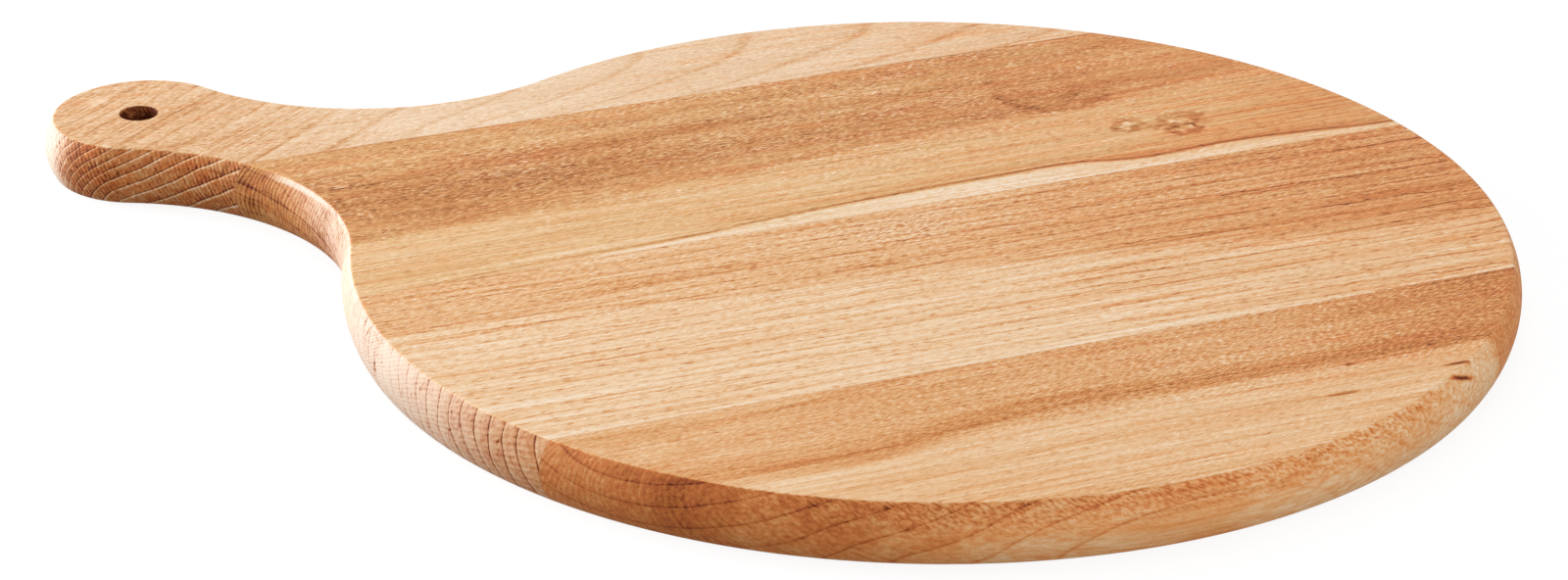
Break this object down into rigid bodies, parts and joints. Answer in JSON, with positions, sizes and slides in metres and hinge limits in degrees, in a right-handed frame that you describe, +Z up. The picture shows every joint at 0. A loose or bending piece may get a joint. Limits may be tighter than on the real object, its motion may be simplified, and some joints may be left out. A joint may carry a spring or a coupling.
{
  "type": "pizza serving board",
  "caption": "Round wooden serving board with a short waisted handle and a hanging hole, edge-glued from wide beech staves that run at a slant to the handle.",
  "frame": {"origin": "centre of the round part, on the underside that the board rests on", "axes": "+X along the board's centre line, away from the handle; +Z up, square to the flat faces; +Y towards the stave that holds the handle"},
  "size_m": [0.403, 0.3, 0.016],
  "materials": {
    "beech_handle_stave": "planed and sanded steamed beech, thinly oiled, satin; pale with faint arched growth rings",
    "beech_inner_back_stave": "planed and sanded beech, thinly oiled, satin; brown heartwood with a paler strip along one joint",
    "beech_inner_front_stave": "planed and sanded beech, thinly oiled, satin; reddish band above pale straight grain with short flecks",
    "beech_front_stave": "planed and sanded beech, thinly oiled, satin; reddish band above a pale edge with small bark marks",
    "wood_glue": "hard, slightly darker film of cured wood glue, sanded flush"
  },
  "bodies": {
    "root": {"handle_stave": "beech_handle_stave", "inner_back_stave": "beech_inner_back_stave", "inner_front_stave": "beech_inner_front_stave", "front_stave": "beech_front_stave", "glue_line_back": "wood_glue", "glue_line_middle": "wood_glue", "glue_line_front": "wood_glue"}
  },
  "joints": []
}
